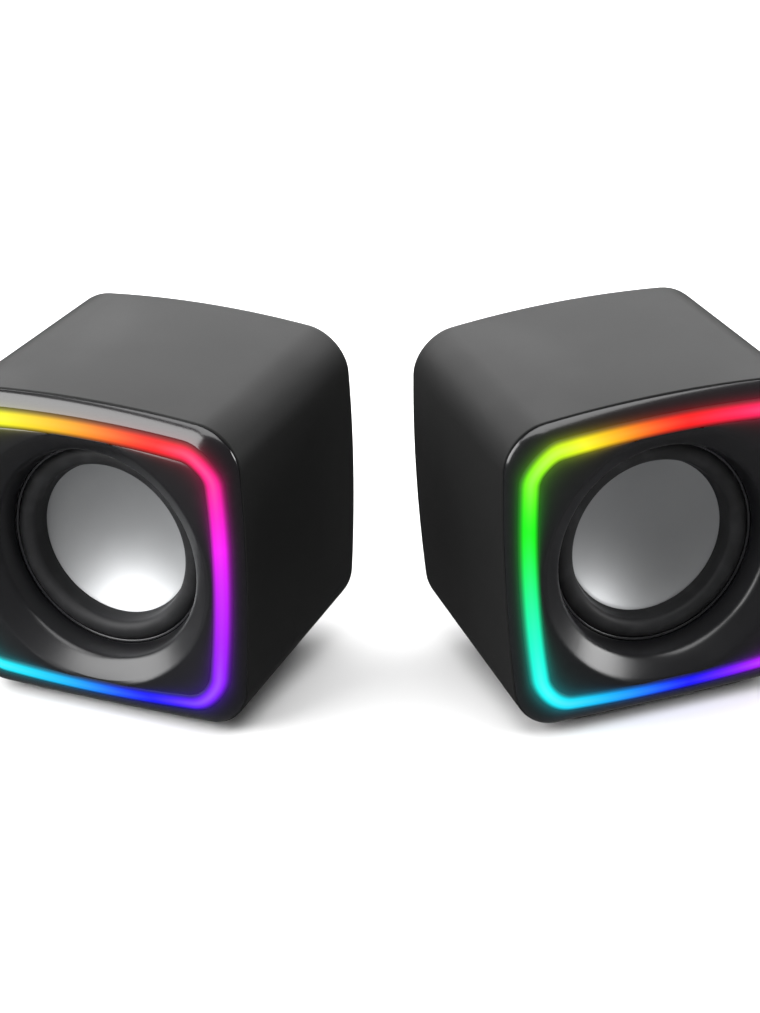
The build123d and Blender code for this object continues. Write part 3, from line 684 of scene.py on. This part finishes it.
def woven_cloth():
    """Resin-stiffened cotton of the spider."""
    finish = Finish("woven_cloth")
    threads = finish.node("ShaderNodeTexBrick", inputs={
        "Vector": finish.place(), "Scale": 900.0, "Color1": (0.42, 0.26, 0.08, 1),
        "Color2": (0.50, 0.33, 0.12, 1), "Mortar": (0.20, 0.11, 0.03, 1)})
    fuzz = finish.noise(0.2 * MM, 3.0)
    return finish.surface(threads, 0.75 + fuzz * 0.15, Normal=finish.bump(fuzz, 0.03 * MM))


def circuit_resist():
    """Green solder resist over copper tracks."""
    finish = Finish("circuit_resist")
    tracks = finish.node("ShaderNodeTexVoronoi", {"feature": "DISTANCE_TO_EDGE"},
                         {"Vector": finish.place(), "Scale": 260.0}).step(0.02, 0.05)
    patches = finish.noise(3 * MM, 3.0)
    base = finish.mix(tracks, (0.03, 0.22, 0.09), (0.012, 0.10, 0.04))
    return finish.surface(base, 0.25 + patches * 0.15, Normal=finish.bump(tracks, -0.02 * MM))


def inner_finishes():
    """The finish of each piece that keeps its CAD solid, by material slot."""
    made = {}

    def add(slot, colour, roughness, **others):
        """Makes the finish of one slot."""
        made[slot] = plain_finish(slot, colour, roughness, **others)

    add("pad_rubber", (0.016, 0.016, 0.017), 0.75, grain=0.6, relief=0.03)
    add("black_steel", (0.03, 0.03, 0.032), 0.38, metallic=0.8, grain=0.3, relief=0.005)
    add("zinc_steel", (0.50, 0.51, 0.53), 0.33, metallic=1.0, grain=0.3, relief=0.004)
    add("gasket_paper", (0.05, 0.048, 0.045), 0.85, grain=0.3, relief=0.03)
    add("basket_steel", (0.028, 0.028, 0.03), 0.42, metallic=0.5, grain=0.5, relief=0.006)
    add("ferrite", (0.035, 0.035, 0.038), 0.62, grain=0.4, relief=0.02)
    add("terminal_strip", (0.26, 0.12, 0.045), 0.7, grain=0.4, relief=0.02)
    add("wire_sleeve", (0.30, 0.015, 0.015), 0.45, grain=0.6, relief=0.01)
    add("former_paper", (0.48, 0.34, 0.18), 0.7, grain=0.3, relief=0.01)
    add("copper_wire", (0.72, 0.28, 0.11), 0.35, metallic=0.9, grain=0.15, relief=0.03)
    add("can_metal", (0.58, 0.58, 0.60), 0.3, metallic=1.0, grain=0.4, relief=0.004)
    add("chip_plastic", (0.02, 0.02, 0.021), 0.6, grain=0.25, relief=0.01)
    add("socket_plastic", (0.72, 0.70, 0.62), 0.5, grain=0.5, relief=0.006)
    add("knob_plastic", (0.018, 0.018, 0.019), 0.42, grain=0.3, relief=0.012)
    add("led_body", (0.82, 0.80, 0.66), 0.4, grain=0.4, relief=0.004)
    made["spider_cloth"] = woven_cloth()
    made["circuit_board"] = circuit_resist()
    return made


def floor_paper():
    """Matt pale backdrop paper."""
    finish = Finish("floor_paper")
    colour = tuple(settings("finish").floor)
    fibres = finish.noise(1.2 * MM, 4.0)
    clouds = finish.noise(160 * MM, 2.0)
    base = finish.mix(fibres * 0.5 + clouds * 0.5, lighter(colour, 0.99), lighter(colour, 1.01))
    return finish.surface(base, 0.9, Normal=finish.bump(fibres, 0.02 * MM), Specular_IOR_Level=0.1)


# ---------------------------------------------------------------- operators


class SPEAKERS_OT_cabinets(Operator):
    """Build the cabinets' bowed sleeves"""

    bl_idname = "speakers.cabinets"
    bl_label = "Cabinets"

    def execute(self, context):
        cabinet = settings("cabinet")
        panel_inset, panel_front = 4.1 * MM, 55.05 * MM
        lip_inset, lip_depth = 1.1 * MM, 5.5 * MM
        profile = soften([
            (lip_inset, lip_depth, 0), (lip_inset, 0, 0.25 * MM), (0, 0, 0.45 * MM),
            (0, cabinet.depth * 0.33, 0), (0, cabinet.depth * 0.66, 0),
            (0, cabinet.depth, cabinet.back_round), (panel_inset, cabinet.depth, 0.3 * MM),
            (panel_inset, panel_front, 0.1 * MM), (cabinet.wall, panel_front, 0.2 * MM),
            (cabinet.wall, lip_depth, 0),
        ], 6)
        loops = [at_depth(body_outline(inset, depth), depth) for inset, depth in profile]
        finish = shell_plastic()
        for side in SIDES:
            piece = skin(f"{side}_cabinet_sleeve", loops, PLACES[side])
            fit(piece, f"{side}_speaker", f"{side}_cabinet", finish)
            dress(frame["nodes"][f"{side}_back_panel"], finish)
        return {"FINISHED"}


class SPEAKERS_OT_front_frames(Operator):
    """Build the gloss frames between the cabinets' edges and the rings"""

    bl_idname = "speakers.front_frames"
    bl_label = "Front frames"

    def execute(self, context):
        ring = settings("ring")
        seam, plug_back = 0.02 * MM, 3.5 * MM
        plug, outer = body_outline(PLUG_INSET), body_outline(BEVEL_START)
        inner = ring_outline(ring.band / 2 + RING_GAP)
        loops = [at_depth(plug, plug_back), at_depth(plug, seam), at_depth(outer, seam)]
        # The loops lie closer together near the outer edge, where the bevel turns quickest.
        for part in (0.0, 0.01, 0.03, 0.07, 0.13, 0.2, 0.3, 0.42, 0.56, 0.72, 0.88, 0.97):
            line = [between(Vector(a), Vector(b), part) for a, b in zip(outer, inner)]
            loops.append(on_front(line))
        loops += [on_front(inner, EDGE_SINK), on_front(inner, EDGE_DEPTH), at_depth(inner, plug_back)]
        for side in SIDES:
            piece = skin(f"{side}_gloss_frame", loops, PLACES[side])
            # Stores how strong the painted glow of the ring's light is on each loop of the frame.
            store(piece, "painted_glow", len(inner), painted_glow(loops, loops[-3]))
            finish = gloss_plastic(side)
            fit(piece, f"{side}_speaker", f"{side}_front_frame", finish)
        return {"FINISHED"}


class SPEAKERS_OT_light_rings(Operator):
    """Build the lit rings, with the place across the band stored on them"""

    bl_idname = "speakers.light_rings"
    bl_label = "Light rings"

    def execute(self, context):
        ring = settings("ring")
        crown, sink, back, steps = 0.5 * MM, 0.12 * MM, 1.5 * MM, 14
        angles = [between(-pi / 2, pi / 2, i / steps) for i in range(steps + 1)]
        offsets = [ring.band / 2 * sin(a) for a in angles]
        lines = [ring_outline(offset) for offset in offsets]
        loops = [on_front(line, sink - crown * cos(a)) for line, a in zip(lines, angles)]
        loops += [at_depth(lines[-1], back), at_depth(lines[0], back)]
        across = [sin(a) for a in angles] + [1, -1]
        for side in SIDES:
            finish = lit_diffuser(side)
            piece = skin(f"{side}_light_ring", loops, PLACES[side])
            store(piece, "across", len(lines[0]), across)
            fit(piece, f"{side}_speaker", f"{side}_light_guide", finish)
        return {"FINISHED"}


class SPEAKERS_OT_baffles(Operator):
    """Build the inner fronts with their bowls"""

    bl_idname = "speakers.baffles"
    bl_label = "Baffles"

    def execute(self, context):
        ring, driver = settings("ring"), settings("driver")
        plate_front, plate_back = 3.6 * MM, 5.4 * MM
        edge, plug = ring_outline(-ring.band / 2 - RING_GAP), body_outline(PLUG_INSET)
        # The mouth's edge rolls inwards from the front to the top of the bowl.
        roll_start, roll_end = driver.mouth + 0.8 * MM, (driver.mouth - 0.5 * MM, -3.95 * MM)
        lip = circle_towards(edge, roll_start, 0)
        lip_line = [Vector((p.x, p.z)) for p in lip]
        loops = [at_depth(plug, plate_back), at_depth(plug, plate_front), at_depth(edge, plate_front)]
        loops += [on_front(edge, EDGE_DEPTH), on_front(edge, EDGE_SINK)]
        edge_loop = len(loops) - 1
        for part in (0.04, 0.12, 0.22, 0.34, 0.48, 0.64, 0.82, 1.0):
            loops.append(on_front([between(Vector(a), b, part) for a, b in zip(edge, lip_line)]))
        brow, steps, overhang = loops[-1], 7, 0.32
        for step in range(1, steps + 1):
            part = step / steps
            loop = []
            for start, down in zip(brow, circle_towards(edge, *roll_end)):
                top = start + (down - start) * overhang
                bend = Vector((top.x, start.y, top.z))
                loop.append(between(between(start, bend, part), between(bend, down, part), part))
            loops.append(loop)
        bowl = soften([
            (*roll_end, 0), (driver.throat, -0.9 * MM, 1.1 * MM),
            (driver.rim + 0.1 * MM, 4.6 * MM, 0.4 * MM), (driver.rim + 0.5 * MM, plate_back, 0),
        ])
        loops += [circle_towards(edge, radius, depth) for radius, depth in bowl[1:]]
        for side in SIDES:
            piece = skin(f"{side}_bowl_front", loops, PLACES[side])
            # Stores how strong the painted glow of the ring's light is on each loop of the bowl front.
            store(piece, "painted_glow", len(edge), painted_glow(loops, loops[edge_loop]))
            finish = satin_black_plastic(side)
            fit(piece, f"{side}_speaker", f"{side}_baffle", finish)
        return {"FINISHED"}


class SPEAKERS_OT_drivers(Operator):
    """Build the dishes, their rubber half-rolls and the rims round them"""

    bl_idname = "speakers.drivers"
    bl_label = "Drivers"

    def execute(self, context):
        metal, rubber = spun_metal(), soft_rubber()
        rim_finish = plain_finish("rim_lacquer", (0.02, 0.02, 0.022), 0.22, grain=0.6, relief=0.004)
        for side in SIDES:
            place = PLACES[side]
            dish = self.dish(f"{side}_spun_dish", place)
            fit(dish, f"{side}_cone", f"{side}_dish", metal)
            roll = turned(f"{side}_half_roll", self.roll_profile(), place)
            dress(roll, rubber)
            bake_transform(roll)
            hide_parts(f"{side}_surround")
            rim = turned(f"{side}_driver_rim", self.rim_profile(), place)
            fit(rim, f"{side}_speaker", f"{side}_driver_gasket", rim_finish)
        return {"FINISHED"}

    def dish(self, name, place):
        """A shallow spun dish with a rolled lip."""
        driver = settings("driver")
        radius, depth, edge, thick, rings = driver.dish, driver.dish_depth, 9.2 * MM, 0.5 * MM, 26
        sphere = (radius**2 + depth**2) / (2 * depth)
        radii = [radius * i / rings for i in range(1, rings + 1)]
        fall = [(r, edge + depth - sphere + sqrt(sphere**2 - r**2)) for r in radii]
        lip = [(radius + 0.25 * MM, edge - 0.05 * MM), (radius + 0.7 * MM, edge),
               (radius + 0.8 * MM, edge + 0.2 * MM), (radius + 0.7 * MM, edge + thick)]
        behind = [(r, y + thick) for r, y in reversed(fall)]
        loops = [circle(r, y) for r, y in fall + lip + behind]
        front = Vector((0, edge + depth, AXIS_HEIGHT))
        return capped_skin(name, loops, front, front + Vector((0, thick, 0)), place)

    def roll_profile(self):
        """The half-roll's section: outer flange, roll and inner lip."""
        flange, outer, inner, front, thick = 25.8 * MM, 24.05 * MM, 19.45 * MM, 6.35 * MM, 0.45 * MM
        middle, radius = (outer + inner) / 2, (outer - inner) / 2
        fullness, steps = 0.9, 16
        angles = [pi * i / steps for i in range(steps + 1)]

        def arch(radius, foot, height):
            """Half an oval from its outer foot to its inner one."""
            return [(middle + radius * cos(a), foot - height * sin(a) ** fullness) for a in angles]

        roll = arch(radius, front, 1.95 * MM)
        under = arch(radius - thick, front + 0.1 * MM, 1.55 * MM)[::-1]
        descent = [(inner - 0.25 * MM, 7.6 * MM), (inner - 0.45 * MM, 8.5 * MM),
                   (18.75 * MM, 8.78 * MM), (18.7 * MM, 9.1 * MM),
                   (inner - 0.1 * MM, 9.12 * MM), (inner + 0.2 * MM, 8.4 * MM)]
        return [(flange, 6.0 * MM)] + roll + descent + under + [(flange, 6.45 * MM)]

    def rim_profile(self):
        """A rolled rim that shows as a thin line inside the bowl."""
        flange, front, back = 25.8 * MM, 5.42 * MM, 5.98 * MM
        return soften([
            (flange, front, 0), (24.7 * MM, front, 0.1 * MM), (24.35 * MM, 4.95 * MM, 0.2 * MM),
            (23.85 * MM, 5.1 * MM, 0.25 * MM), (23.9 * MM, 5.9 * MM, 0.2 * MM), (flange, back, 0),
        ])


class SPEAKERS_OT_inner_finishes(Operator):
    """Give the remaining CAD pieces the finish of their material slot"""

    bl_idname = "speakers.inner_finishes"
    bl_label = "Inner finishes"

    def execute(self, context):
        finishes = inner_finishes()
        slots = {part["node"]: part["material_slot"] for part in RECORD["subparts"]}
        for node, piece in frame["nodes"].items():
            if slots[node] in finishes:
                dress(piece, finishes[slots[node]])
        return {"FINISHED"}


class SPEAKERS_OT_stage(Operator):
    """Set the pale floor, the soft lights and the camera"""

    bl_idname = "speakers.stage"
    bl_label = "Stage"

    def execute(self, context):
        self.floor()
        self.lights()
        self.camera(context)
        context.scene.view_settings.view_transform = "Standard"
        return {"FINISHED"}

    def floor(self):
        """A wide sheet of backdrop paper on the desk plane."""
        half, cells, below = 3.0, 24, 0.1 * MM
        lines = [between(-half, half, i / cells) for i in range(cells + 1)]
        vertices = [Vector((x, y, 0)) for y in lines for x in lines]
        row = cells + 1
        faces = [(j * row + i, j * row + i + 1, (j + 1) * row + i + 1, (j + 1) * row + i)
                 for j in range(cells) for i in range(cells)]
        sheet = piece_from("backdrop_paper", vertices, faces, Matrix.Translation((0, 0, -below)))
        dress(sheet, floor_paper())
        sheet.visible_glossy = False

    def softbox(self, name, azimuth, elevation, distance, width, height, power):
        """An area light that looks at the pair from a direction given in degrees."""
        data = bpy.data.lights.new(name, "AREA")
        data.shape = "RECTANGLE"
        data.size, data.size_y, data.energy = width, height, power
        light = bpy.data.objects.new(name, data)
        bpy.context.scene.collection.objects.link(light)
        a, e = radians(azimuth), radians(elevation)
        towards = Vector((sin(a) * cos(e), -cos(a) * cos(e), sin(e)))
        light.location = Vector((0, 0, AXIS_HEIGHT)) + towards * distance
        light.rotation_euler = (-towards).to_track_quat("-Z", "Y").to_euler()

    def lights(self):
        """A grey room, a bright box behind, one overhead and one on each side in front."""
        room_light = 0.13
        world = bpy.data.worlds.new("grey_room")
        world.use_nodes = True
        background = world.node_tree.nodes["Background"]
        background.inputs["Color"].default_value = (1, 1, 1, 1)
        background.inputs["Strength"].default_value = room_light
        bpy.context.scene.world = world
        self.softbox("box_behind", azimuth=180, elevation=32, distance=1.4,
                     width=2.8, height=0.9, power=42)
        self.softbox("box_overhead", azimuth=0, elevation=84, distance=1.3,
                     width=1.4, height=1.3, power=21)
        self.softbox("box_left", azimuth=-76, elevation=28, distance=0.9,
                     width=1.0, height=0.76, power=15)
        self.softbox("box_right", azimuth=90, elevation=14, distance=0.9,
                     width=0.46, height=0.36, power=5)

    def camera(self, context):
        """A long lens that looks 25 degrees down at the pair."""
        down, roll = radians(25.223), radians(-2.142)
        place = Vector((0.00694, -0.91195, 0.46731))
        forward = Vector((0, cos(down), -sin(down)))
        level, rise = Vector((1, 0, 0)), Vector((0, sin(down), cos(down)))
        right = level * cos(roll) + rise * sin(roll)
        above = rise * cos(roll) - level * sin(roll)
        data = bpy.data.cameras.new("camera")
        data.lens, data.sensor_width = 155.08, 36.0
        data.shift_x, data.shift_y = -0.0311, 0.0008
        data.clip_end = 20
        camera = bpy.data.objects.new("camera", data)
        context.scene.collection.objects.link(camera)
        turn = Matrix((right, above, -forward)).transposed().to_4x4()
        camera.matrix_world = Matrix.Translation(place) @ turn
        context.scene.camera = camera


class SPEAKERS_PT_panel(Panel):
    """Lists the steps that build the pair."""

    bl_idname = "SPEAKERS_PT_panel"
    bl_label = "Desktop speakers"
    bl_space_type = "VIEW_3D"
    bl_region_type = "UI"
    bl_category = "Speakers"

    def draw(self, context):
        for name, group in GROUPS.items():
            box = self.layout.box()
            for setting in group.__annotations__:
                box.prop(getattr(context.scene, name), setting)
        for step in STEPS:
            self.layout.operator(step.bl_idname)


GROUPS = {"speaker_cabinet": CabinetSettings, "speaker_ring": RingSettings,
          "speaker_driver": DriverSettings, "speaker_finish": FinishSettings}
STEPS = (SPEAKERS_OT_cabinets, SPEAKERS_OT_front_frames, SPEAKERS_OT_light_rings, SPEAKERS_OT_baffles,
         SPEAKERS_OT_drivers, SPEAKERS_OT_inner_finishes, SPEAKERS_OT_stage)


def register():
    """Registers the classes and hangs the settings on the scene."""
    for name, group in GROUPS.items():
        bpy.utils.register_class(group)
        setattr(bpy.types.Scene, name, PointerProperty(type=group))
    for step in STEPS:
        bpy.utils.register_class(step)
    bpy.utils.register_class(SPEAKERS_PT_panel)


def unregister():
    """Takes back what register added."""
    bpy.utils.unregister_class(SPEAKERS_PT_panel)
    for step in reversed(STEPS):
        bpy.utils.unregister_class(step)
    for name, group in reversed(GROUPS.items()):
        delattr(bpy.types.Scene, name)
        bpy.utils.unregister_class(group)


def main():
    """Builds the pair step by step."""
    register()
    bpy.ops.speakers.cabinets()
    bpy.ops.speakers.front_frames()
    bpy.ops.speakers.light_rings()
    bpy.ops.speakers.baffles()
    bpy.ops.speakers.drivers()
    bpy.ops.speakers.inner_finishes()
    bpy.ops.speakers.stage()


if __name__ == "__main__":
    main()
